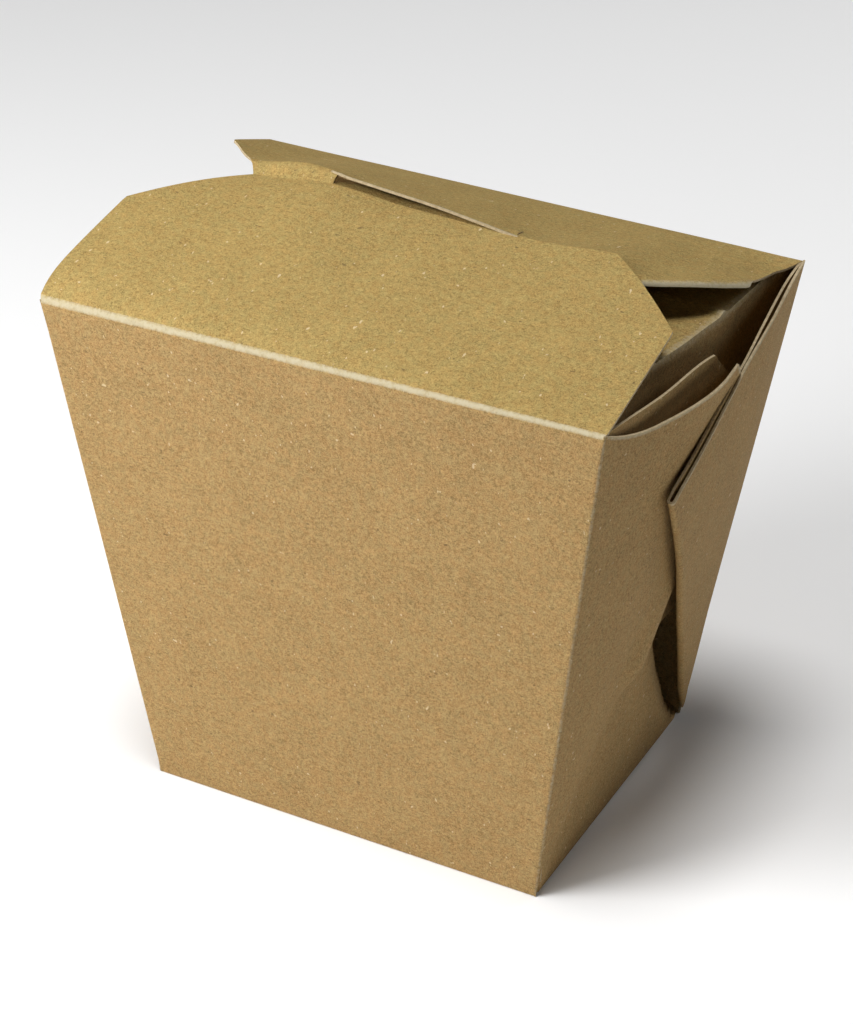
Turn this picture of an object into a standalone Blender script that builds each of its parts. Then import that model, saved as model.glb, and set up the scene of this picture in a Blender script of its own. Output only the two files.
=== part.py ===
"""Noodle takeaway box: a kraft-card carton, folded shut.

The carton is one folded blank, so it is one closed solid. Its walls flare from
a small base to a wider rim. The front and back walls carry the lid flaps, which
meet in a low ridge: the front flap's tongue sits in a curved slit in the back
flap. At each side a wall with a dust flap stands between two folded webs
(gussets): each web runs from a vertical corner round onto the side wall, folds
back on itself along a line from the base corner, and stands off the wall above.

Metres, +Z up. The origin is under the middle of the whole, at the base. The front
faces -Y. The surfaces are worked out from the middle of the base, and MIDDLE_X
then brings the whole over the origin.
"""
import math

import bmesh
import bpy
from mathutils import Matrix, Vector

# ---------------------------------------------------------------- dimensions
MM = 0.001
BASE_WIDTH = 85.0 * MM
BASE_DEPTH = 68.0 * MM
RIM_WIDTH = 113.2 * MM
RIM_DEPTH = 79.8 * MM
RIM_HEIGHT = 105.0 * MM

# The card is 0.45 mm thick. The solids use heavier plates so that they stay whole.
LID_PLATE = 0.8 * MM
WEB_PLATE = 0.8 * MM
DOUBLE_WEB_PLATE = 1.7 * MM
LID_ROOT = 3.6 * MM
CORE_INSET = 1.2 * MM
SEAM = 0.3 * MM

# Hand-folded: one back corner is spread outward, the other sits a little high.
RIGHT_BACK_SPREAD = 4.0 * MM
LEFT_BACK_LIFT = 2.9 * MM
MIDDLE_X = 1.05 * MM

# Front lid flap: its side edges, its chamfered shoulders and its tongue.
SHOULDER_START = 28.4 * MM
SHOULDER_END = 45.1 * MM
SHOULDER_HALF_WIDTH = 37.6 * MM
FLAP_HALF_WIDTH_AT_SHOULDER = 55.8 * MM
TONGUE_HALF_WIDTH = 19.0 * MM
TONGUE_LENGTH = 5.0 * MM
FRONT_SLOPE = 0.228
LEFT_CURL_RISE = 7.9 * MM
LEFT_CURL_REACH = 9.5 * MM
LEFT_SLOPE = 0.088

# Back lid flap: its two side outlines, as (reach from the crease, X) stations,
# and its upward slope, as (X, slope) stations.
BACK_REACH = 41.0 * MM
BACK_LEFT_SIDE = [
    (0.0 * MM, -56.2 * MM),
    (19.4 * MM, -52.5 * MM),
    (33.6 * MM, -38.1 * MM),
    (41.0 * MM, -34.0 * MM),
]
BACK_RIGHT_SIDE = [
    (0.0 * MM, 60.2 * MM),
    (4.0 * MM, 58.6 * MM),
    (9.2 * MM, 56.1 * MM),
    (22.8 * MM, 58.3 * MM),
    (32.0 * MM, 52.5 * MM),
    (41.0 * MM, 43.0 * MM),
]
BACK_SLOPES = [
    (-52.0 * MM, 0.376),
    (-38.0 * MM, 0.350),
    (-26.0 * MM, 0.388),
    (-18.0 * MM, 0.386),
    (-6.0 * MM, 0.322),
    (8.4 * MM, 0.275),
    (17.7 * MM, 0.252),
    (36.0 * MM, 0.262),
    (46.0 * MM, 0.185),
    (57.0 * MM, 0.150),
]
CREST_REACH_LEFT = 31.5 * MM
CREST_REACH_RIGHT = 34.8 * MM
LIP_REACH = 35.2 * MM

# Side walls and their dust flaps, and the hollow between each dust flap and the lid.
WALL_PUSH = 3.8 * MM
WALL_DIP = 1.0 * MM
DUST_FLAP_LENGTH = 16.8 * MM
DUST_FLAP_SLOPE = 0.34
HOLLOW_REACH = 30.0 * MM
ROOT_HALF_WIDTH = 22.0 * MM
ROOT_FADE = 6.0 * MM

# Webs, as angles from the vertical at their base corner.
# An outline is (angle, radius of the cut edge) stations, and a stand-off is
# (angle, distance from the flat side at the rim) stations.
CORNER_ANGLE = math.degrees(math.atan((RIM_DEPTH - BASE_DEPTH) / 2 / RIM_HEIGHT))
FRONT_OUTLINE = [
    (-3.3, 105.2 * MM),
    (4.2, 100.9 * MM),
    (12.7, 101.9 * MM),
    (18.3, 103.9 * MM),
    (20.4, 106.9 * MM),
    (35.0, 97.2 * MM),
]
FRONT_OUTER_STAND = [
    (-3.3, -0.6 * MM),
    (4.2, 2.2 * MM),
    (12.7, 4.6 * MM),
    (20.4, 4.5 * MM),
    (35.0, 1.3 * MM),
]
FRONT_INNER_OUTLINE = [
    (-3.3, 104.6 * MM),
    (8.6, 104.2 * MM),
    (19.6, 107.8 * MM),
    (35.0, 97.2 * MM),
]
FRONT_INNER_STAND = [
    (-3.3, -1.0 * MM),
    (8.6, -0.2 * MM),
    (19.6, -0.2 * MM),
    (35.0, 0.7 * MM),
]
BACK_OUTLINE = [
    (-3.3, 105.2 * MM),
    (1.6, 103.5 * MM),
    (8.4, 102.4 * MM),
    (15.2, 101.5 * MM),
    (32.4, 97.2 * MM),
]
BACK_STAND = [
    (-3.3, -0.5 * MM),
    (1.6, 1.0 * MM),
    (8.4, 3.2 * MM),
    (15.2, 4.8 * MM),
    (32.4, 5.7 * MM),
]
FOOT_SINK = 1.2 * MM
FOOT_LENGTH = 0.25

COLOURS = {"card": (0.47, 0.33, 0.15, 1.0)}


# ------------------------------------------------------------- small helpers
def lerp(a, b, t):
    return a + (b - a) * t


def smooth(t):
    """An S-curve from 0 to 1."""
    t = min(1.0, max(0.0, t))
    return t * t * (3 - 2 * t)


def between(x, stations):
    """The value at x of a line through (x, value) stations in rising x."""
    for (x0, v0), (x1, v1) in zip(stations, stations[1:]):
        if x <= x1:
            return lerp(v0, v1, max(0.0, (x - x0) / (x1 - x0)))
    return stations[-1][1]


def steps(count):
    return [i / count for i in range(count + 1)]


# ------------------------------------------------------------ carton surfaces
def corner(side, end, height):
    """A point on a vertical corner edge. side is -1 or +1 in X, end in Y."""
    t = height / RIM_HEIGHT
    x = side * lerp(BASE_WIDTH, RIM_WIDTH, t) / 2
    y = end * lerp(BASE_DEPTH, RIM_DEPTH, t) / 2
    z = height
    if end > 0 and side > 0:
        x += RIGHT_BACK_SPREAD * t
    if end > 0 and side < 0:
        z += LEFT_BACK_LIFT * t
    return Vector((x, y, z))


def side_plane_x(side, y, z):
    """The X of the flat side between its two corner edges."""
    front = corner(side, -1, z)
    back = corner(side, 1, z)
    t = (y - front.y) / (back.y - front.y)
    return lerp(front.x, back.x, t)


def wall_push(t, height):
    """How far the side wall is pushed in, at a fraction t of its depth."""
    along = 1 - abs(2 * t - 1) ** 4
    return WALL_PUSH * along * smooth((height / RIM_HEIGHT - 0.35) / 0.65)


def side_wall(side, t, height):
    point = corner(side, -1, height).lerp(corner(side, 1, height), t)
    point.x -= side * wall_push(t, height)
    point.z -= WALL_DIP * (1 - abs(2 * t - 1) ** 2) * smooth(height / RIM_HEIGHT * 3 - 2)
    return point


def back_crease_z(x):
    t = (x + RIM_WIDTH / 2) / (RIM_WIDTH + RIGHT_BACK_SPREAD)
    return RIM_HEIGHT + LEFT_BACK_LIFT * (1 - t)


def front_lid_z(x, y):
    """The front flap: flat at the right, curling up from its crease at the left."""
    reach = y + RIM_DEPTH / 2
    right = FRONT_SLOPE * reach
    left = LEFT_CURL_RISE * (1 - math.exp(-reach / LEFT_CURL_REACH)) + LEFT_SLOPE * reach
    lifted = 1.3 * MM * math.exp(-((x + 21 * MM) / (13 * MM)) ** 2) * smooth(reach / SHOULDER_END)
    return RIM_HEIGHT + lerp(left, right, x / RIM_WIDTH + 0.5) + lifted


def back_rise(x, reach):
    """The back flap before its crest, as a height above its crease."""
    return between(x, BACK_SLOPES) * reach


def back_lid_z(x, y):
    """The back flap: up to its crest, then down under the front flap."""
    reach = RIM_DEPTH / 2 - y
    crest = lerp(CREST_REACH_LEFT, CREST_REACH_RIGHT, smooth(x / RIM_WIDTH + 0.5))
    up = back_rise(x, min(reach, crest))
    down = FRONT_SLOPE * max(0.0, reach - crest)
    return back_crease_z(x) + up - down


# --------------------------------------------------------------- solid makers
def new_object(name, bm, collection):
    bmesh.ops.recalc_face_normals(bm, faces=bm.faces)
    mesh = bpy.data.meshes.new(name)
    bm.to_mesh(mesh)
    bm.free()
    mesh.transform(Matrix.Translation((-MIDDLE_X, 0, 0)))
    piece = bpy.data.objects.new(name, mesh)
    collection.objects.link(piece)
    return piece


def plate(name, outer, inner, collection):
    """A closed solid between two grids of points with the same rows and columns."""
    bm = bmesh.new()
    grids = [[[bm.verts.new(p) for p in row] for row in grid] for grid in (outer, inner)]
    rows = len(outer)
    columns = len(outer[0])
    for grid in grids:
        for i in range(rows - 1):
            for j in range(columns - 1):
                bm.faces.new((grid[i][j], grid[i][j + 1], grid[i + 1][j + 1], grid[i + 1][j]))
    border = [(0, j) for j in range(columns)]
    border += [(i, columns - 1) for i in range(1, rows)]
    border += [(rows - 1, j) for j in range(columns - 2, -1, -1)]
    border += [(i, 0) for i in range(rows - 2, 0, -1)]
    for (i0, j0), (i1, j1) in zip(border, border[1:] + border[:1]):
        bm.faces.new((grids[0][i0][j0], grids[0][i1][j1], grids[1][i1][j1], grids[1][i0][j0]))
    return new_object(name, bm, collection)


# -------------------------------------------------------------------- the core
def ring(height, across, along):
    """One closed ring of wall points, from the front left corner to the right."""
    front = [corner(-1, -1, height).lerp(corner(1, -1, height), t) for t in steps(across)]
    right = [side_wall(1, t, height) for t in steps(along)]
    back = [corner(1, 1, height).lerp(corner(-1, 1, height), t) for t in steps(across)]
    left = [side_wall(-1, 1 - t, height) for t in steps(along)]
    return front[:-1] + right[:-1] + back[:-1] + left[:-1]


def core_top_z(x, y, ridge_left, ridge_right):
    """Under the lid: a dust flap sloping in from each ridge, solid up to the flaps in the middle."""
    near_left = x - ridge_left.x < ridge_right.x - x
    ridge = ridge_left if near_left else ridge_right
    inward = abs(x - ridge.x)
    if inward < HOLLOW_REACH:
        return ridge.z - DUST_FLAP_SLOPE * min(inward, DUST_FLAP_LENGTH)
    return min(front_lid_z(x, y), back_lid_z(x, y)) - CORE_INSET


def make_core(collection, across=16, along=12, levels=8):
    bm = bmesh.new()
    rings = [[bm.verts.new(p) for p in ring(RIM_HEIGHT * t, across, along)] for t in steps(levels)]
    count = len(rings[0])
    for low, high in zip(rings, rings[1:]):
        for i in range(count):
            k = (i + 1) % count
            bm.faces.new((low[i], low[k], high[k], high[i]))
    bm.faces.new(rings[0][::-1])
    top = rings[-1]
    grid = [top[:across + 1]]
    for j in range(1, along):
        right = top[across + j]
        left = top[-j]
        row = [left]
        for i in range(1, across):
            point = left.co.lerp(right.co, i / across)
            point.z = core_top_z(point.x, point.y, left.co, right.co)
            row.append(bm.verts.new(point))
        grid.append(row + [right])
    grid.append([top[(2 * across + along - i) % count] for i in range(across + 1)])
    for low, high in zip(grid, grid[1:]):
        for i in range(across):
            bm.faces.new((low[i], low[i + 1], high[i + 1], high[i]))
    return new_object("carton", bm, collection)


# ------------------------------------------------------------------- lid flaps
def front_half_width(reach):
    return between(reach, [
        (0, RIM_WIDTH / 2 - 0.4 * MM),
        (SHOULDER_START, FLAP_HALF_WIDTH_AT_SHOULDER),
        (SHOULDER_END, SHOULDER_HALF_WIDTH),
    ])


def lid_depth(x):
    """A thin plate over the hollows, rooted in the core between them."""
    return lerp(LID_ROOT, LID_PLATE, smooth((abs(x) - ROOT_HALF_WIDTH) / ROOT_FADE))


def underside(grid):
    return [[p - Vector((0, 0, lid_depth(p.x))) for p in row] for row in grid]


def tucked(row):
    """The first row of a flap, just inside the crease and under the core's top."""
    shrink = 1 - SEAM / row[-1].x
    return [Vector((p.x * shrink, p.y, p.z - 2 * SEAM)) for p in row]


def make_front_flap(collection, columns=20):
    reaches = [SEAM]
    reaches += [1.4 * MM + (SHOULDER_START - 1.4 * MM) * t ** 1.4 for t in steps(6)]
    reaches += [lerp(SHOULDER_START, SHOULDER_END, t) for t in steps(4)[1:]]
    grid = []
    for reach in reaches:
        half = front_half_width(reach)
        y = reach - RIM_DEPTH / 2
        xs = [lerp(-half, half, t) for t in steps(columns)]
        grid.append([Vector((x, y, front_lid_z(x, y))) for x in xs])
    grid[0] = tucked(grid[0])
    return plate("front_flap", grid, underside(grid), collection)


def make_tongue(collection, columns=8):
    grid = []
    for t in steps(4):
        reach = SHOULDER_END - 2 * MM + (TONGUE_LENGTH + 2 * MM) * t
        y = reach - RIM_DEPTH / 2
        xs = [TONGUE_HALF_WIDTH * (2 * u - 1) for u in steps(columns)]
        dip = 1.6 * MM * smooth(t)
        grid.append([Vector((x, y, front_lid_z(x, y) - 0.1 * MM - dip)) for x in xs])
    lower = [[p - Vector((0, 0, LID_ROOT)) for p in row] for row in grid]
    return plate("tongue", grid, lower, collection)


def make_back_flap(collection, columns=24):
    """Crease to crest, then under the front flap, except at the slit, where it ends in a lip."""
    grid = []
    for t in [SEAM / BACK_REACH, 0.035] + steps(10)[1:]:
        row = []
        reach = BACK_REACH * t
        left = between(reach, BACK_LEFT_SIDE)
        right = between(reach, BACK_RIGHT_SIDE)
        for u in steps(columns):
            x = lerp(left, right, u)
            y = RIM_DEPTH / 2 - reach
            if abs(x) < TONGUE_HALF_WIDTH + 1.2 * MM:
                y = RIM_DEPTH / 2 - LIP_REACH * t
                z = back_crease_z(x) + back_rise(x, LIP_REACH * t)
            else:
                z = min(back_lid_z(x, y), front_lid_z(x, y) - LID_PLATE + 0.3 * MM)
            row.append(Vector((x, y, z)))
        grid.append(row)
    grid[0] = tucked(grid[0])
    return plate("back_flap", grid, underside(grid), collection)


# ------------------------------------------------------------------------ webs
def web_point(side, end, angle, radius, stand):
    """A point of a web: a cone from its base corner, standing off the flat side."""
    foot = corner(side, end, 0)
    y = foot.y - end * radius * math.sin(math.radians(angle))
    z = radius * math.cos(math.radians(angle))
    x = side_plane_x(side, y, z) + side * stand * radius / RIM_HEIGHT
    return Vector((x, y, z))


def make_web(name, side, end, outline, stands, thickness, collection, rays=13, rows=9):
    """One layer of a web. Its foot and its corner edge are sunk in the core."""
    outer = []
    inner = []
    for t in steps(rows):
        outer_row = []
        inner_row = []
        for u in steps(rays):
            angle = lerp(0.6 - CORNER_ANGLE, outline[-1][0], u)
            radius = between(angle, outline) * lerp(0.06, 1.0, t)
            point = web_point(side, end, angle, radius, between(angle, stands))
            point.x -= side * FOOT_SINK * (1 - smooth(t / FOOT_LENGTH))
            outer_row.append(point)
            inner_row.append(point - Vector((side * thickness, 0, 0)))
        outer.append(outer_row)
        inner.append(inner_row)
    return plate(name, outer, inner, collection)


def make_webs(collection):
    layers = (
        ("front_inner", -1, FRONT_INNER_OUTLINE, FRONT_INNER_STAND, WEB_PLATE),
        ("front_outer", -1, FRONT_OUTLINE, FRONT_OUTER_STAND, WEB_PLATE),
        ("back", 1, BACK_OUTLINE, BACK_STAND, DOUBLE_WEB_PLATE),
    )
    webs = []
    for side, label in ((-1, "left_"), (1, "right_")):
        for name, end, outline, stands, thickness in layers:
            webs.append(make_web(label + name, side, end, outline, stands, thickness, collection))
    return webs


# ------------------------------------------------------------------------ main
def card_material():
    material = bpy.data.materials.new("kraft_card")
    material.use_nodes = True
    shader = material.node_tree.nodes["Principled BSDF"]
    shader.inputs["Base Color"].default_value = COLOURS["card"]
    shader.inputs["Roughness"].default_value = 0.8
    shader.inputs["Metallic"].default_value = 0.0
    return material


def main():
    for old in list(bpy.data.objects):
        bpy.data.objects.remove(old, do_unlink=True)
    model = bpy.data.collections.new("noodle_box")
    joined = bpy.data.collections.new("joined_shapes")
    bpy.context.scene.collection.children.link(model)
    bpy.context.scene.collection.children.link(joined)

    carton = make_core(model)
    carton.data.materials.append(card_material())
    shapes = [make_tongue(joined), make_back_flap(joined), make_front_flap(joined)]
    shapes += make_webs(joined)
    for shape in shapes:
        shape.hide_render = True
        shape.display_type = "WIRE"
        union = carton.modifiers.new("join_" + shape.name, "BOOLEAN")
        union.operation = "UNION"
        union.solver = "EXACT"
        union.object = shape


main()
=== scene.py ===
"""Looks of the noodle takeaway box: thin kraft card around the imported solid.

Lengths in the geometry code are in rim heights: 1 is the height of the carton's
front rim, and put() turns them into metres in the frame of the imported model.
"""
import math

import bmesh
import bpy
from mathutils import Matrix, Vector


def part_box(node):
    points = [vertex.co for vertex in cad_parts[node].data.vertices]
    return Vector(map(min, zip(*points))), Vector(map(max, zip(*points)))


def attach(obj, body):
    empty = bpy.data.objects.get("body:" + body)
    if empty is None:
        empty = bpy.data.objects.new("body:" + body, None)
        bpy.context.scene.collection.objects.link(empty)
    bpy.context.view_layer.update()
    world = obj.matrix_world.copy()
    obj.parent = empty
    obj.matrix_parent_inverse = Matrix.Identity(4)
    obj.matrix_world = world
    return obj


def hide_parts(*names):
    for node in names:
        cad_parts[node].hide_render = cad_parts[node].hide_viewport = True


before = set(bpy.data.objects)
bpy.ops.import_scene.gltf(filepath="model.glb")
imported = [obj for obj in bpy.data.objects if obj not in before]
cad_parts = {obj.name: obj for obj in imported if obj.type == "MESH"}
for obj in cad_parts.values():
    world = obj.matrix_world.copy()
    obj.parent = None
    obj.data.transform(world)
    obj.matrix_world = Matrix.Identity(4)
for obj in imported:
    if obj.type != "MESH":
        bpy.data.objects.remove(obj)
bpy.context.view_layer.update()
LOW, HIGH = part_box("carton")

# ------------------------------------------------------------ the carton's sizes
WIDTH_IN_RIMS = 1.1717
RIM = (HIGH.x - LOW.x) / WIDTH_IN_RIMS
MIDDLE_X = 0.010
CARD = 0.0043
PLY = 0.0016

BASE_X, BASE_Y = 0.4048, 0.3238
RIM_X, RIM_Y = 0.5390, 0.3800
SPREAD = 0.0381
LIFT = 0.0276

CREASE = 0.0075
CORNER = 0.0075
BOTTOM = 0.0060

SHOULDER_START = 0.267
SHOULDER_END = 0.429
SHOULDER_X = 0.358
CREST = 0.300
SLIT_LEFT, SLIT_RIGHT = -0.197, 0.172
LIP_REACH = 0.335

FOLD_FRONT = 35.0
FOLD_BACK = 32.0


# ------------------------------------------------------------------ small maths
def lerp(a, b, t):
    return a + (b - a) * t


def clamp(t):
    return min(1.0, max(0.0, t))


def smooth(t):
    t = clamp(t)
    return t * t * (3 - 2 * t)


def steps(count):
    return [i / count for i in range(count + 1)]


def bell(x, centre, width):
    return math.exp(-((x - centre) / width) ** 2)


def curve(stations):
    """A smooth function through (x, value) stations in rising x."""
    xs = [x for x, value in stations]
    vs = [value for x, value in stations]
    last = len(xs) - 1

    def slope(i):
        a, b = max(0, i - 1), min(last, i + 1)
        return (vs[b] - vs[a]) / (xs[b] - xs[a])

    def value_at(x):
        x = min(xs[-1], max(xs[0], x))
        i = 0
        while i < last - 1 and x > xs[i + 1]:
            i += 1
        width = xs[i + 1] - xs[i]
        t = (x - xs[i]) / width
        a, b = slope(i) * width, slope(i + 1) * width
        rise = vs[i + 1] - vs[i]
        return vs[i] + t * (a + t * (3 * rise - 2 * a - b + t * (a + b - 2 * rise)))

    return value_at


def bezier(a, b, c, t):
    return a.lerp(b, t).lerp(b.lerp(c, t), t)


def put(point):
    """From rim heights to metres in the model's frame."""
    return Vector(((point.x - MIDDLE_X) * RIM, point.y * RIM, point.z * RIM))


# -------------------------------------------------------------- the flat carton
def foot(side, end):
    return Vector((side * BASE_X, end * BASE_Y, 0))


def top(side, end):
    x = side * RIM_X
    z = 1.0
    if end > 0 and side > 0:
        x += SPREAD
    if end > 0 and side < 0:
        z += LIFT
    return Vector((x, end * RIM_Y, z))


def edge_at(side, end, z):
    """The vertical edge of a corner, at a height."""
    a, b = foot(side, end), top(side, end)
    return a.lerp(b, z / b.z)


def plane_x(side, y, z):
    """The flat side between its two corner edges."""
    front, back = edge_at(side, -1, z), edge_at(side, 1, z)
    t = (y - front.y) / (back.y - front.y)
    return lerp(front.x, back.x, t)


def crease_z(end, x):
    left, right = top(-1, end), top(1, end)
    return lerp(left.z, right.z, (x - left.x) / (right.x - left.x))


# -------------------------------------------------------------------- lid forms
def front_z(x, s):
    """Height of the front flap, s back from its crease."""
    right = 0.236 * s
    left = 0.030 * (1 - math.exp(-s / 0.030)) + 0.24 * s * (1 - 0.225 * (s / 0.43) ** 6)
    ridge = 0.015 * bell(x, -0.19, 0.10) - 0.0105 * bell(x, 0.20, 0.13)
    return 1 + lerp(left, right, x / (2 * RIM_X) + 0.5) + ridge * min(1.0, s / 0.43) ** 2


back_slope = curve([
    (-0.500, 0.386), (-0.385, 0.328), (-0.270, 0.385), (-0.185, 0.374), (-0.080, 0.346),
    (0.020, 0.318), (0.110, 0.281), (0.190, 0.250), (0.350, 0.262), (0.433, 0.220),
    (0.500, 0.219), (0.555, 0.198),
])


def back_z(x, s):
    """Height of the back flap before its crest, s forward from its crease."""
    on_ridge = smooth((x - 0.45) / 0.10)
    lag = lerp(1.0, clamp(s / 0.22), on_ridge)
    return crease_z(1, x) + back_slope(x) * s * lag


def front_half(s):
    """Half the front flap's width, s back from its crease."""
    if s < SHOULDER_START:
        return lerp(RIM_X, 0.533, s / SHOULDER_START)
    t = (s - SHOULDER_START) / (SHOULDER_END - SHOULDER_START)
    return lerp(0.533, SHOULDER_X, t) + 0.006 * math.sin(math.pi * t)


back_left = curve([
    (0.0, -0.537), (0.10, -0.520), (0.170, -0.506), (0.187, -0.499),
    (0.215, -0.472), (0.272, -0.420), (0.300, -0.390), (0.335, -0.363), (0.40, -0.335),
])
back_right = curve([
    (0.0, 0.574), (0.035, 0.566), (0.060, 0.560), (0.085, 0.552), (0.140, 0.5505),
    (0.200, 0.5525), (0.222, 0.5535), (0.234, 0.5475), (0.305, 0.502), (0.378, 0.433), (0.44, 0.375),
])


# -------------------------------------------------------------------- web forms
# Angles in degrees from the vertical at the foot; radii and stand-offs in rims.
front_rim = curve([
    (-3.1, 1.0016), (0.0, 0.976), (4.2, 0.9600), (8.5, 0.9615),
    (12.7, 0.9705), (18.3, 0.990), (20.4, 1.0180),
])
front_stand = curve([
    (-3.1, 0.0), (4.2, 0.0215), (12.7, 0.0445), (20.4, 0.0415), (28.0, 0.0370), (35.0, 0.0300),
])
front_inner_rim = curve([(-3.1, 0.997), (8.6, 0.992), (19.6, 1.027)])
front_inner_stand = curve([
    (-3.1, 0.0), (8.6, 0.0066), (19.6, 0.0066), (22.5, 0.0180), (26.0, 0.0290), (35.0, 0.0310),
])
back_rim = curve([
    (-3.1, 1.0016), (1.6, 0.9930), (8.4, 0.9820), (15.2, 0.9670),
])
back_stand = curve([
    (-3.1, 0.0), (1.6, 0.0135), (8.4, 0.0335), (15.2, 0.0435), (24.0, 0.0520), (32.0, 0.0550),
])
back_inner_stand = curve([
    (-3.1, 0.0), (1.6, 0.0085), (8.4, 0.0270), (15.2, 0.0420), (24.0, 0.0490), (32.0, 0.0520),
])
back_swell = curve([
    (0.0, 0.0), (0.1, 0.24), (0.3, 0.465), (0.5, 0.67), (0.7, 0.93), (0.85, 1.0), (1.0, 1.0),
])
# Where the front web's fold stands open above its pressed foot.
front_pocket = curve([
    (0.0, -0.0010), (0.33, -0.0040), (0.39, -0.0030), (0.44, 0.0150), (0.52, 0.0110),
    (0.60, 0.0060), (0.72, 0.0),
])
FRONT_APEX, BACK_APEX, FRONT_INNER_APEX = 20.4, 15.2, 19.6
FOLD_RADIUS = 0.926
WEB_START = 0.03


def cut_radius(angle, rim, apex, fold):
    """The web's cut edge: its rim up to the apex, then straight to the fold's top."""
    if angle <= apex:
        return rim(angle)
    a, f = math.radians(apex), math.radians(fold)
    start = Vector((math.sin(a), math.cos(a))) * rim(apex)
    end = Vector((math.sin(f), math.cos(f))) * FOLD_RADIUS
    ray = Vector((math.sin(math.radians(angle)), math.cos(math.radians(angle))))
    across = Vector((ray.y, -ray.x))
    t = start.dot(across) / (start - end).dot(across)
    return start.lerp(end, t).length


def wall_inset(z):
    """The side wall lies inside the two pressed layers of the webs."""
    return 2 * CARD * smooth(z / 0.25)


def web_point(side, end, angle, radius, stand):
    base = foot(side, end)
    y = base.y - end * radius * math.sin(math.radians(angle))
    z = radius * math.cos(math.radians(angle))
    return Vector((plane_x(side, y, z) + side * stand, y, z))


# ------------------------------------------------------------------ side walls
TORN = 0.645
ridge_push = curve([
    (0.0, 0.002), (0.12, 0.022), (0.30, 0.040), (0.47, 0.030), (0.56, 0.026),
    (0.64, 0.022), (0.79, 0.023), (0.875, 0.023), (0.945, 0.017), (1.0, 0.006),
])


def wedge_push(y, z):
    """The wall dips in under the back web's fold, where the webs part."""
    fold_y = BASE_Y - z * math.tan(math.radians(FOLD_BACK))
    deep = 0.120 * smooth((y - fold_y + 0.030) / 0.022) * smooth(z / 0.05) * smooth((0.36 - z) / 0.16)
    shallow = 0.020 * smooth((y - fold_y + 0.09) / 0.09) * smooth(z / 0.10) * smooth((0.75 - z) / 0.35)
    return max(deep, shallow)


def side_wall(side, t, z):
    """A point of the side wall, t along it from the front to the back."""
    front, back = edge_at(side, -1, z), edge_at(side, 1, z)
    y = lerp(front.y + CARD, back.y - CARD, t)
    push = ridge_push(t) * clamp((z - 0.30) / 0.70) ** 3
    if side > 0:
        push += wedge_push(y, z)
    return Vector((plane_x(side, y, z) - side * (wall_inset(z) + push), y, z))


# --------------------------------------------------------------- mesh building
class Sheet:
    """Card as grids of points, welded where they meet. Fronts are the printed side."""

    def __init__(self):
        self.points = []
        # Per-point paleness: worn, frayed and folded card, and painted highlight on creases, ridges,
        # corners and the hem.
        self.wear_and_highlight = []
        self.faces = []
        self.found = {}

    def index(self, point, wear_and_highlight):
        key = tuple(round(c, 6) for c in point)
        if key not in self.found:
            self.found[key] = len(self.points)
            self.points.append(put(point))
            self.wear_and_highlight.append(wear_and_highlight)
        i = self.found[key]
        self.wear_and_highlight[i] = max(self.wear_and_highlight[i], wear_and_highlight)
        return i

    def grid(self, rows, wear_and_highlight_rows=None, flip=False):
        ids = []
        for i, row in enumerate(rows):
            ids.append([self.index(p, wear_and_highlight_rows[i][j] if wear_and_highlight_rows else 0.0) for j, p in enumerate(row)])
        for a, b in zip(ids, ids[1:]):
            for j in range(len(a) - 1):
                ring = []
                for k in (a[j], a[j + 1], b[j + 1], b[j]):
                    if k not in ring:
                        ring.append(k)
                if len(ring) > 2:
                    self.faces.append(ring[::-1] if flip else ring)

    def make(self, name, materials, thickness=CARD):
        mesh = bpy.data.meshes.new(name)
        mesh.from_pydata(self.points, [], self.faces)
        layer = mesh.attributes.new("wear_and_highlight", "FLOAT", "POINT")
        layer.data.foreach_set("value", self.wear_and_highlight)
        mesh.validate()
        mesh.update()
        mesh.shade_smooth()
        piece = bpy.data.objects.new(name, mesh)
        bpy.context.scene.collection.objects.link(piece)
        for material in materials:
            mesh.materials.append(material)
        if thickness:
            card = piece.modifiers.new("card", "SOLIDIFY")
            card.thickness = thickness * RIM
            card.offset = -1
            card.material_offset_rim = 1
            card.use_rim = True
        settle(piece)
        return piece


def settle(piece):
    """Make the card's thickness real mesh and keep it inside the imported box."""
    view = bpy.context.evaluated_depsgraph_get()
    mesh = bpy.data.meshes.new_from_object(piece.evaluated_get(view))
    piece.modifiers.clear()
    piece.data = mesh
    mesh.set_sharp_from_angle(angle=math.radians(50))
    for vertex in mesh.vertices:
        vertex.co = [min(max(c, low), high) for c, low, high in zip(vertex.co, LOW, HIGH)]


# ------------------------------------------------------------------- the wraps
def wall_rows():
    """Fractions of a wall's height, closer near the bottom and the crease."""
    low = [BOTTOM, 0.012, 0.02, 0.035]
    middle = [0.035 + (0.94 - 0.035) * t for t in steps(34)[1:]]
    high = [0.955, 0.97, 1 - CREASE]
    return low + middle + high


def corner_size(t):
    """Radius of a vertical corner at a fraction of its height."""
    return min(CORNER, 0.55 * max(t, 0.004)) * (1 - 0.6 * smooth((t - 0.93) / 0.07))


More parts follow.
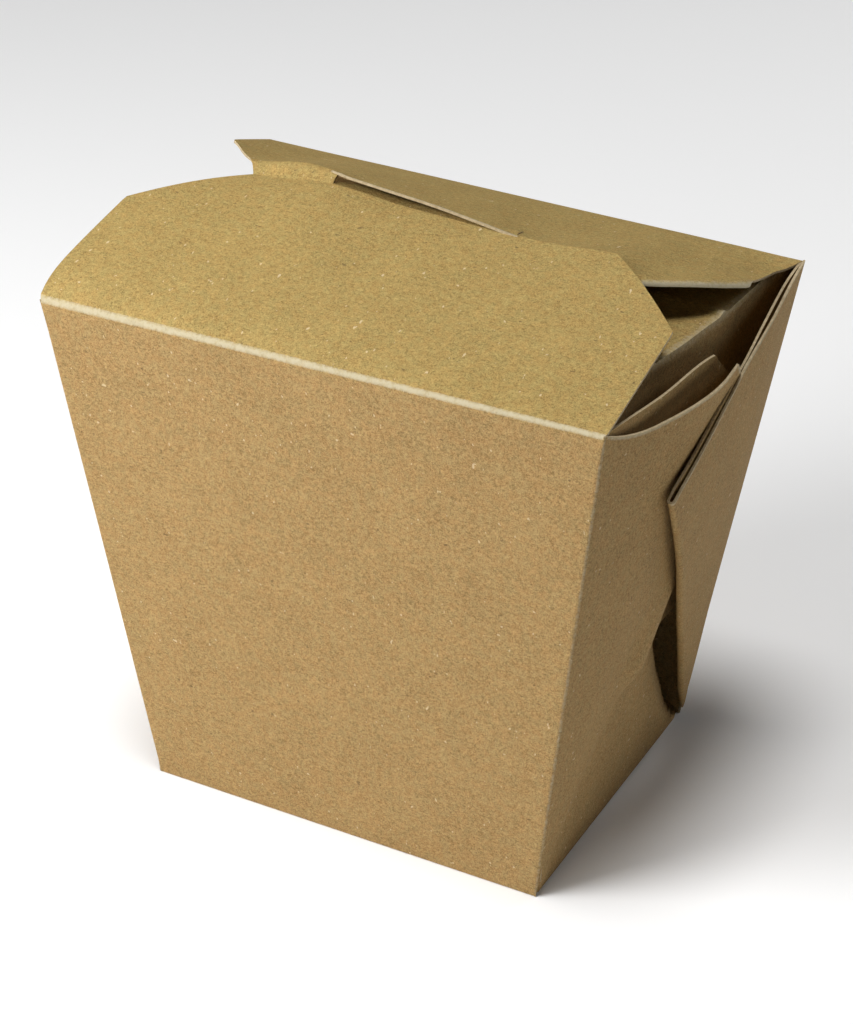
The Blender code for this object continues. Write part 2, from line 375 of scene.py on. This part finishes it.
class Wrap:
    """A front or back panel with its flap and the webs that turn round its corners."""

    def __init__(self, end, rim, stand, inner_rim, inner_stand, apex, inner_apex, fold,
                 ramp, extra, puff, pocket):
        self.end = end
        self.rim, self.stand, self.apex = rim, stand, apex
        self.inner_rim, self.inner_stand, self.inner_apex = inner_rim, inner_stand, inner_apex
        self.fold, self.ramp, self.extra = fold, ramp, extra
        self.puff, self.pocket = puff, pocket
        self.sheet = Sheet()

    def start_angle(self, side):
        d = top(side, self.end) - foot(side, self.end)
        return math.degrees(math.atan2(self.end * d.y, d.z)) * -1

    def reach(self, side):
        d = top(side, self.end) - foot(side, self.end)
        return math.hypot(d.y, d.z)

    def corner_point(self, side, t):
        return foot(side, self.end).lerp(top(side, self.end), t)

    def outline(self, side, angle, inner=False):
        """The cut edge's radius, stretched to meet a lifted corner."""
        rim = self.inner_rim if inner else self.rim
        apex = self.inner_apex if inner else self.apex
        plain = cut_radius(angle, rim, apex, self.fold)
        first = self.start_angle(side)
        lift = self.reach(side) - rim(first)
        if side < 0 < self.end:
            plain -= 0.024 * smooth((angle - first) / 3.5)
        if inner:
            plain += self.extra * smooth((angle - apex) / 2) * smooth((self.fold - angle) / 2)
        return plain + lift * (1 - smooth((angle - first) / 4.5))

    def near_fold(self, angle, width):
        return smooth((angle - self.fold + width) / width)

    def outer_stand(self, angle, radius):
        return self.stand(angle) * self.ramp(radius) + self.pocket(radius) * self.near_fold(angle, 9)

    def inner_face(self, angle, radius):
        """The folded-back layer, two card thicknesses inside, as a stand-off."""
        pressed = -2 * CARD * smooth(radius / 0.25)
        inner = pressed + self.inner_stand(angle) * self.ramp(radius)
        round_fold = 2 * CARD + self.puff * self.near_fold(angle, 6)
        return min(inner, self.outer_stand(angle, radius) - round_fold * smooth(radius / 0.15))

    def web_rows(self):
        return wall_rows() + [0.9945, 0.997, 1.0]

    def angles(self, side, radius, inner=False):
        first = self.start_angle(side)
        apex = self.inner_apex if inner else self.apex
        skip = math.degrees(min(CORNER / max(radius, 1e-4), math.radians(0.55 * (self.fold - first))))
        skip = min(skip, 0.6 * (apex - first))
        low = [lerp(first + skip, apex, t) for t in steps(14)]
        high = [lerp(apex, self.fold, t) for t in steps(14)[1:]]
        return low + high

    def outer_points(self, side, t):
        """One row of the outer layer: round the corner, then out to the fold."""
        first = self.start_angle(side)
        at, other = self.corner_point(side, t), self.corner_point(-side, t)
        size = corner_size(t)
        wall = at + (other - at).normalized() * size
        row = []
        for a in self.angles(side, t):
            r = t * self.outline(side, a)
            row.append(web_point(side, self.end, a, r, self.outer_stand(a, r)))
        return [bezier(wall, at, row[0], u) for u in steps(6)][:-1] + row

    def inner_points(self, side, t):
        """One row of the folded-back layer, from the fold towards the corner."""
        row = []
        for a in reversed(self.angles(side, t, inner=True)):
            r = t * self.outline(side, a, inner=True)
            row.append(web_point(side, self.end, a, r, self.inner_face(a, r)))
        return row

    def build_web(self, side):
        rows = []
        a = math.radians(self.fold)
        forward = Vector((0, -self.end * math.cos(a), -math.sin(a)))
        edge, corner_highlight = [], []
        for t in self.web_rows():
            outer = self.outer_points(side, t)
            edge.append(outer[:7])
            # Painted highlight along the rounded vertical corner.
            corner_highlight.append([0.40 * math.sin(math.pi * u) ** 2 for u in steps(6)])
            if t < WEB_START:
                continue
            outer = outer[6:]
            inner = self.inner_points(side, t)
            middle = (outer[-1] + inner[0]) / 2
            arm = outer[-1] - middle
            turns = [math.pi * u for u in steps(8)[1:-1]]
            fold = [middle + arm * math.cos(u) + forward * arm.length * math.sin(u) for u in turns]
            rows.append(outer + fold + inner)
        starts = [t for t in self.web_rows() if t >= WEB_START]
        layer = len(rows[0]) // 2
        frayed = []
        for t in starts:
            pale = 0.7 * smooth((t - 0.9925) / 0.0045)
            frayed.append([pale] * layer + [0.0] * (len(rows[0]) - layer))
        self.sheet.grid(edge, corner_highlight, flip=side * self.end > 0)
        self.sheet.grid(rows, frayed, flip=side * self.end > 0)

    def wall_point(self, u, t):
        left, right = self.corner_point(-1, t), self.corner_point(1, t)
        size = corner_size(t)
        along = (right - left).normalized()
        point = (left + along * size).lerp(right - along * size, u)
        bow = 0.0025 * math.sin(math.pi * u) * math.sin(math.pi * t)
        return point + Vector((0, self.end * bow, 0))

    def build_wall(self, us):
        rows = [[self.wall_point(u, t) for u in us] for t in wall_rows()]
        self.sheet.grid(rows, flip=self.end > 0)
        left = self.outer_points(-1, BOTTOM)[:6][::-1]
        right = self.outer_points(1, BOTTOM)[:6]
        loop = left[:-1] + rows[0] + right[1:]
        curl = []
        for v in steps(5):
            row = []
            for j, point in enumerate(loop):
                before, after = loop[max(0, j - 1)], loop[min(len(loop) - 1, j + 1)]
                along = (after - before).normalized()
                out = Vector((along.y, -along.x, 0)) * -self.end
                turn = v * math.pi / 2
                inset = 0.5 * BOTTOM * (1 - math.cos(turn))
                row.append(point - out * inset - Vector((0, 0, point.z * math.sin(turn))))
            curl.append(row)
        self.sheet.grid(curl[::-1], flip=self.end > 0)

    def build_crease(self, us, flap_row):
        """The soft fold from the wall's top to the flap's first row."""
        rows, wear_and_highlight_rows = [], []
        for v in steps(10):
            row = []
            for u, lid in zip(us, flap_row):
                wall = self.wall_point(u, 1 - CREASE)
                fold = self.wall_point(u, 1.0)
                fold.y = self.end * RIM_Y
                row.append(bezier(wall, fold, lid, v))
            rows.append(row)
            # Painted highlight along the rounded crease, with the paler stretched fibres of the fold.
            wear_and_highlight_rows.append([math.sin(math.pi * v) ** 0.7] * len(row))
        self.sheet.grid(rows, wear_and_highlight_rows, flip=self.end > 0)


def front_wrap():
    wrap = Wrap(
        end=-1, rim=front_rim, stand=front_stand, inner_rim=front_inner_rim,
        inner_stand=front_inner_stand, apex=FRONT_APEX, inner_apex=FRONT_INNER_APEX,
        fold=FOLD_FRONT, ramp=lambda r: r ** 1.5, extra=0.0, puff=0.002, pocket=front_pocket)
    us = steps(60)
    lid = []
    count = 34
    for i in range(count + 1):
        s = lerp(CREASE, SHOULDER_END, i / count)
        half = front_half(s)
        xs = [half * (2 * u - 1) for u in us]
        lid.append([Vector((x, s - RIM_Y, front_z(x, s))) for x in xs])
    wrap.build_wall(us)
    wrap.build_web(-1)
    wrap.build_web(1)
    wrap.build_crease(us, lid[0])
    wrap.sheet.grid(lid)
    tongue = [p for p in lid[-1] if SLIT_LEFT < p.x < SLIT_RIGHT - 0.004]
    rows = []
    for q in steps(8):
        run = 0.085 * q
        row = []
        for p in tongue:
            fall = lerp(6.0, 8.0, clamp(p.x / 0.39 + 0.5)) + 8 * bell(p.x, SLIT_LEFT, 0.03)
            narrow = 1 - 0.12 * q ** 2
            row.append(Vector((p.x * narrow, p.y + run, p.z + 0.08 * run - fall * run ** 2)))
        rows.append(row)
    wrap.sheet.grid(rows)
    return wrap.sheet


def back_wrap():
    wrap = Wrap(
        end=1, rim=back_rim, stand=back_stand, inner_rim=back_rim,
        inner_stand=back_inner_stand, apex=BACK_APEX, inner_apex=BACK_APEX,
        fold=FOLD_BACK, ramp=back_swell, extra=0.009, puff=0.006, pocket=lambda r: 0.0)

    def columns(s):
        left, right = back_left(s), back_right(s)
        a = [lerp(left, SLIT_LEFT, u) for u in steps(18)]
        b = [lerp(SLIT_LEFT, SLIT_RIGHT, u) for u in steps(24)]
        c = [lerp(SLIT_RIGHT, right, u) for u in steps(22)]
        return a, b, c

    def flap_point(x, s):
        return Vector((x, RIM_Y - s, back_z(x, s)))

    def under_front(x, s):
        reach = 2 * RIM_Y - s
        return front_z(x, min(reach, 0.43)) - lerp(0.03, 1.0, smooth((0.420 - reach) / 0.02)) * CARD

    lid = []
    for i in range(25):
        s = lerp(CREASE, CREST, i / 24)
        a, b, c = columns(s)
        lid.append([flap_point(x, s) for x in a + b[1:] + c[1:]])
    first = columns(0.0)
    xs = first[0] + first[1][1:] + first[2][1:]
    left, right = wrap.wall_point(0, 1.0).x, wrap.wall_point(1, 1.0).x
    us = [clamp((x - left) / (right - left)) for x in xs]
    us[0], us[-1] = 0.0, 1.0
    wrap.build_wall(us)
    wrap.build_web(-1)
    wrap.build_web(1)
    wrap.build_crease(us, lid[0])
    wrap.sheet.grid(lid, flip=True)

    left_strip, lip, right_part = [], [], []
    tuck = 0.331
    for i in range(21):
        s = lerp(CREST, 0.40, (i / 20) ** 1.3)
        row = []
        for x in columns(s)[0]:
            z = under_front(x, s)
            if s < tuck:
                run = back_slope(x) * (tuck - CREST)
                t = (s - CREST) / (tuck - CREST)
                crest = back_z(x, CREST)
                z = crest + run * t + (under_front(x, tuck) - crest - run) * t ** 1.8
            row.append(Vector((x, RIM_Y - s, z)))
        left_strip.append(row)
    for i in range(5):
        s = lerp(CREST, LIP_REACH, i / 4)
        row = []
        for x in columns(CREST)[1]:
            curl = 0.004 * bell(x, SLIT_LEFT, 0.02) * (s - CREST) / (LIP_REACH - CREST)
            row.append(flap_point(x, s) + Vector((0, 0, curl)))
        lip.append(row)
    for i in range(13):
        s = lerp(CREST, 0.44, i / 12)
        row = []
        for x in columns(s)[2]:
            z = back_z(x, s)
            if s > CREST + 0.001:
                z = min(z, under_front(x, s))
            row.append(Vector((x, RIM_Y - s, z)))
        right_part.append(row)
    wrap.sheet.grid(left_strip, flip=True)
    lip_wear = [[0.0] * len(row) for row in lip[1:]] + [[1.0] * len(lip[-1])]
    wrap.sheet.grid(lip, lip_wear, flip=True)
    wrap.sheet.grid(right_part, flip=True)

    edge = [row[-1] for row in lid + right_part[1:]]
    hem = []
    for p in edge:
        drop = smooth((RIM_Y - p.y - 0.19) / 0.03)
        if drop > 0:
            turned = p + Vector((0.0030, -0.0034, -0.0034)) * drop
            hem.append([p, turned, turned + Vector((0.0004, -0.0004, -0.0056)) * drop])
    # The turned hem is paled: pale cut fibres, plus a painted highlight where the lamps reach it
    # little.
    wrap.sheet.grid(hem, [[0.3, 1.0, 1.0]] * len(hem), flip=True)
    return wrap.sheet


# --------------------------------------------------------------------- the core
def dust_flap_z(x, ridge_left, ridge_right):
    """The dust flaps lie close under the lid in the middle and sink at both ends."""
    inward = min(x - ridge_left.x, ridge_right.x - x)
    y = ridge_right.y
    rise = smooth((y + RIM_Y - 0.05) / 0.22) * smooth((RIM_Y - 0.08 - y) / 0.15)
    return ridge_right.z + lerp(-0.12, 0.09, rise) * min(inward, 0.16)


def core():
    """The side walls with their dust flaps, filled in behind the wraps."""
    sheet = Sheet()
    across, along = 24, 120
    inset = 1.6 * CARD
    heights = [0.0, 0.006, 0.02] + [0.02 + 0.94 * t for t in steps(40)[1:]] + [0.975, 0.985, 0.992, 1.0]

    def ring(z):
        tuck = 0.010 * (1 - math.sin(math.acos(1 - clamp(z / 0.006)))) if z < 0.006 else 0.0
        points = {}
        low = min(z, 0.985)
        for side in (-1, 1):
            wall = []
            for t in steps(along):
                p = side_wall(side, t, z)
                p.x -= side * tuck
                if side > 0 and z == 1.0:
                    p.z += 0.006 * bell(t, TORN, 0.012)
                wall.append(p)
            wall[0].z = min(wall[0].z, low)
            wall[-1].z = min(wall[-1].z, low)
            points[side] = wall
        front = [points[-1][0].lerp(points[1][0], u) for u in steps(across)]
        back = [points[1][-1].lerp(points[-1][-1], u) for u in steps(across)]
        for p in front + back:
            p.y *= 1 - (inset + tuck) / RIM_Y
        points[1][0], points[1][-1] = front[-1], back[0]
        points[-1][0], points[-1][-1] = front[0], back[-1]
        return front[:-1] + points[1][:-1] + back[:-1] + points[-1][::-1]

    rings = [ring(z) for z in heights]
    # Painted highlight along the ridge's rounded fold, with paler folded card, and a real torn patch at
    # TORN.
    ridge_highlight_and_tear = [[0.40 * smooth((z - 0.978) / 0.014)] * len(rings[0]) for z in heights]
    for i, t in enumerate(steps(along)):
        torn = bell(t, TORN, 0.014)
        ridge_highlight_and_tear[-1][across + i] = max(torn, ridge_highlight_and_tear[-1][across + i])
    sheet.grid(rings, ridge_highlight_and_tear)
    bottom = rings[0]
    count = 2 * across + 2 * along
    floor = []
    for j in range(along + 1):
        left, right = bottom[count - j], bottom[across + j]
        floor.append([left.lerp(right, u) for u in steps(across)])
    sheet.grid(floor, flip=True)
    last = rings[-1]
    cover = []
    for j in range(along + 1):
        left, right = last[count - j], last[across + j]
        row = [left]
        width = right.x - left.x
        inner = [0.006, 0.015, 0.03, 0.06, 0.10, 0.16, 0.22]
        xs = [left.x + d for d in inner]
        xs += [lerp(left.x + 0.22, right.x - 0.22, u) for u in steps(10)[1:-1]]
        xs += [right.x - d for d in reversed(inner)]
        for i, x in enumerate(xs):
            z = dust_flap_z(x, left, right)
            if j in (0, along):
                z = left.z
            row.append(Vector((x, left.lerp(right, (x - left.x) / width).y, z)))
        cover.append(row + [right])
    # The ridge's painted highlight, with paler folded card, runs on over the dust flap's first columns.
    pale = [0.55, 0.40, 0.08]
    ridge_highlight_row = pale + [0.0] * (len(cover[0]) - 6) + pale[::-1]
    sheet.grid(cover, [ridge_highlight_row] * len(cover))
    return sheet


# -------------------------------------------------------------------- materials
class Nodes:
    """A small helper that adds and links shader nodes."""

    def __init__(self, name):
        self.material = bpy.data.materials.new(name)
        self.material.use_nodes = True
        self.tree = self.material.node_tree
        self.shader = self.tree.nodes["Principled BSDF"]
        self.coords = self.add("ShaderNodeTexCoord").outputs["Object"]

    def add(self, kind, **settings):
        node = self.tree.nodes.new(kind)
        for name, value in settings.items():
            setattr(node, name, value)
        return node

    def link(self, out, into):
        self.tree.links.new(out, into)

    def noise(self, size, detail=2.0, rough=0.5, stretch=(1, 1, 1)):
        """Noise whose blotches are about size metres across."""
        mapping = self.add("ShaderNodeMapping")
        mapping.inputs["Scale"].default_value = [1 / (size * k) for k in stretch]
        self.link(self.coords, mapping.inputs["Vector"])
        node = self.add("ShaderNodeTexNoise")
        node.inputs["Scale"].default_value = 1.0
        node.inputs["Detail"].default_value = detail
        node.inputs["Roughness"].default_value = rough
        self.link(mapping.outputs[0], node.inputs["Vector"])
        return node.outputs["Fac"]

    def ramp(self, value, stops):
        node = self.add("ShaderNodeValToRGB")
        ramp = node.color_ramp
        while len(ramp.elements) < len(stops):
            ramp.elements.new(0.5)
        for element, (at, grey) in zip(ramp.elements, stops):
            element.position = at
            element.color = (grey, grey, grey, 1)
        self.link(value, node.inputs["Fac"])
        return node.outputs["Color"]

    def math(self, operation, a, b):
        node = self.add("ShaderNodeMath", operation=operation)
        for socket, value in zip(node.inputs, (a, b)):
            if isinstance(value, (int, float)):
                socket.default_value = value
            else:
                self.link(value, socket)
        return node.outputs[0]

    def mix(self, factor, a, b, blend="MIX"):
        node = self.add("ShaderNodeMix", data_type="RGBA", blend_type=blend)
        for socket, value in ((node.inputs[0], factor), (node.inputs[6], a), (node.inputs[7], b)):
            if isinstance(value, tuple):
                socket.default_value = value if len(value) == 4 else value + (1,)
            elif isinstance(value, (int, float)):
                socket.default_value = value
            else:
                self.link(value, socket)
        return node.outputs[2]


KRAFT_DARK = (0.176, 0.108, 0.038)
KRAFT_PALE = (0.510, 0.342, 0.137)
LID_TINT = (1.00, 1.06, 0.93)
WALL_TINT = (1.02, 1.00, 1.02)
# Pale colour of folded and worn card, also laid on as painted highlight.
PALE_WEAR_AND_HIGHLIGHT = (0.500, 0.440, 0.300)


def kraft(name):
    """Uncoated brown card: mottled pulp, pale and dark fibres, paler where it is folded, torn and
    frayed, and painted highlight on the creases, the ridges, the corners and the hem.
    """
    n = Nodes(name)
    pulp = n.ramp(n.noise(0.0006, 3, 0.75, (1.3, 1, 1)), [(0.34, 0.0), (0.66, 1.0)])
    tooth = n.ramp(n.noise(0.00026, 2, 0.7), [(0.36, 0.0), (0.64, 1.0)])
    cloud = n.ramp(n.noise(0.009, 3, 0.6), [(0.3, 0.0), (0.7, 1.0)])
    tone = n.math("ADD", n.math("MULTIPLY", pulp, 0.42), n.math("MULTIPLY", tooth, 0.48))
    tone = n.math("ADD", tone, n.math("MULTIPLY", cloud, 0.10))
    base = n.mix(tone, KRAFT_DARK, KRAFT_PALE)
    hue = n.ramp(n.noise(0.0016, 2, 0.6), [(0.35, 0.0), (0.65, 1.0)])
    base = n.mix(1.0, base, n.mix(hue, (0.97, 1.02, 1.04), (1.03, 0.98, 0.95)), "MULTIPLY")
    height = n.add("ShaderNodeSeparateXYZ")
    n.link(n.coords, height.inputs[0])
    on_lid = n.add("ShaderNodeMapRange")
    on_lid.inputs["From Min"].default_value = 0.990 * RIM
    on_lid.inputs["From Max"].default_value = 1.004 * RIM
    n.link(height.outputs["Z"], on_lid.inputs["Value"])
    base = n.mix(1.0, base, n.mix(on_lid.outputs[0], WALL_TINT, LID_TINT), "MULTIPLY")
    pale_fibre = n.ramp(n.noise(0.00085, 1, 0.5, (1, 1.8, 1.4)), [(0.735, 0.0), (0.775, 1.0)])
    dark_fibre = n.ramp(n.noise(0.00095, 1, 0.5, (1.6, 1, 1)), [(0.745, 0.0), (0.785, 1.0)])
    base = n.mix(n.math("MULTIPLY", pale_fibre, 0.55), base, (0.72, 0.58, 0.37))
    base = n.mix(n.math("MULTIPLY", dark_fibre, 0.60), base, (0.10, 0.06, 0.03))
    # One pale mask for real wear and for painted highlight on creases, ridges, corners and the hem.
    wear_and_highlight = n.add("ShaderNodeAttribute", attribute_name="wear_and_highlight").outputs["Fac"]
    frayed = n.math("MULTIPLY", n.math("SUBTRACT", n.noise(0.0008, 3, 0.75), 0.5), 1.6)
    worn_and_highlit = n.ramp(n.math("ADD", wear_and_highlight, frayed), [(0.10, 0.0), (1.00, 0.92)])
    wear_and_highlight_gate = n.ramp(wear_and_highlight, [(0.02, 0.0), (0.25, 1.0)])
    base = n.mix(n.math("MULTIPLY", worn_and_highlit, wear_and_highlight_gate), base, PALE_WEAR_AND_HIGHLIGHT)
    n.link(base, n.shader.inputs["Base Color"])
    n.shader.inputs["Roughness"].default_value = 0.85
    n.shader.inputs["Specular IOR Level"].default_value = 0.2
    bump = n.add("ShaderNodeBump")
    bump.inputs["Strength"].default_value = 0.45
    bump.inputs["Distance"].default_value = 0.00010
    relief = n.math("ADD", n.math("MULTIPLY", pulp, 0.8), n.math("MULTIPLY", tooth, 0.5))
    n.link(relief, bump.inputs["Height"])
    n.link(bump.outputs[0], n.shader.inputs["Normal"])
    return n.material


def cut_edge(name):
    n = Nodes(name)
    fibre = n.ramp(n.noise(0.0007, 3, 0.7), [(0.3, 0.0), (0.7, 1.0)])
    n.link(n.mix(fibre, (0.33, 0.25, 0.14), (0.54, 0.44, 0.28)), n.shader.inputs["Base Color"])
    n.shader.inputs["Roughness"].default_value = 0.9
    n.shader.inputs["Specular IOR Level"].default_value = 0.2
    return n.material


# --------------------------------------------------------------------- assembly
card = kraft("kraft_card")
cut = cut_edge("card_cut_edge")

front = front_wrap().make("front_wrap", [card, cut])
back = back_wrap().make("back_wrap", [card, cut])
walls = core().make("side_walls", [card], thickness=0)

for piece in (front, back, walls):
    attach(piece, "root")
    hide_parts("carton")


# ------------------------------------------------------------------ floor, light
def plain_material(name, colour, roughness):
    material = bpy.data.materials.new(name)
    material.use_nodes = True
    shader = material.node_tree.nodes["Principled BSDF"]
    shader.inputs["Base Color"].default_value = (*colour, 1)
    shader.inputs["Roughness"].default_value = roughness
    return material


floor_mesh = bpy.data.meshes.new("floor")
FLOOR = 3.0
floor_mesh.from_pydata([(-FLOOR, -FLOOR, 0), (FLOOR, -FLOOR, 0), (FLOOR, FLOOR, 0), (-FLOOR, FLOOR, 0)], [], [(0, 1, 2, 3)])
floor = bpy.data.objects.new("floor", floor_mesh)
floor_mesh.materials.append(plain_material("floor_white", (0.9, 0.9, 0.9), 0.9))
bpy.context.scene.collection.objects.link(floor)


def area_light(name, place, aim, size, power, colour=(1, 1, 1)):
    data = bpy.data.lights.new(name, "AREA")
    data.shape = "DISK"
    data.size = size
    data.energy = power
    data.color = colour
    lamp = bpy.data.objects.new(name, data)
    lamp.location = place
    lamp.rotation_euler = (Vector(aim) - Vector(place)).to_track_quat("-Z", "Y").to_euler()
    bpy.context.scene.collection.objects.link(lamp)
    return lamp


AIM = (0, 0, 0.06)
area_light("key", (-0.30, -0.36, 0.33), AIM, 0.3, 3.1)
area_light("back", (0.45, 0.70, 0.42), AIM, 0.3, 1.4)
area_light("top", (0.00, -0.33, 3.00), AIM, 1.0, 59.0)
area_light("right", (0.95, -0.45, 0.70), AIM, 0.5, 0.3)

world = bpy.data.worlds.new("studio")
world.use_nodes = True
world.node_tree.nodes["Background"].inputs["Color"].default_value = (1, 1, 1, 1)
world.node_tree.nodes["Background"].inputs["Strength"].default_value = 0.0
bpy.context.scene.world = world
bpy.context.scene.view_settings.view_transform = "Standard"


# ----------------------------------------------------------------------- camera
AZIMUTH, ELEVATION, ROLL = 0.5057, 0.5305, -0.0122
DISTANCE = 4.4432
TARGET = Vector((0.0118, 0.0, 0.526))


def place_camera():
    back_dir = Vector((
        math.sin(AZIMUTH) * math.cos(ELEVATION),
        -math.cos(AZIMUTH) * math.cos(ELEVATION),
        math.sin(ELEVATION)))
    right = (-back_dir).cross(Vector((0, 0, 1))).normalized()
    up = right.cross(-back_dir)
    c, s = math.cos(ROLL), math.sin(ROLL)
    right, up = right * c + up * s, up * c - right * s
    data = bpy.data.cameras.new("camera")
    data.lens = 84.31
    data.sensor_width = 36.0
    camera = bpy.data.objects.new("camera", data)
    place = put(TARGET) + back_dir * (DISTANCE * RIM)
    camera.matrix_world = Matrix((
        (right.x, up.x, back_dir.x, place.x),
        (right.y, up.y, back_dir.y, place.y),
        (right.z, up.z, back_dir.z, place.z),
        (0, 0, 0, 1)))
    bpy.context.scene.collection.objects.link(camera)
    bpy.context.scene.camera = camera


place_camera()
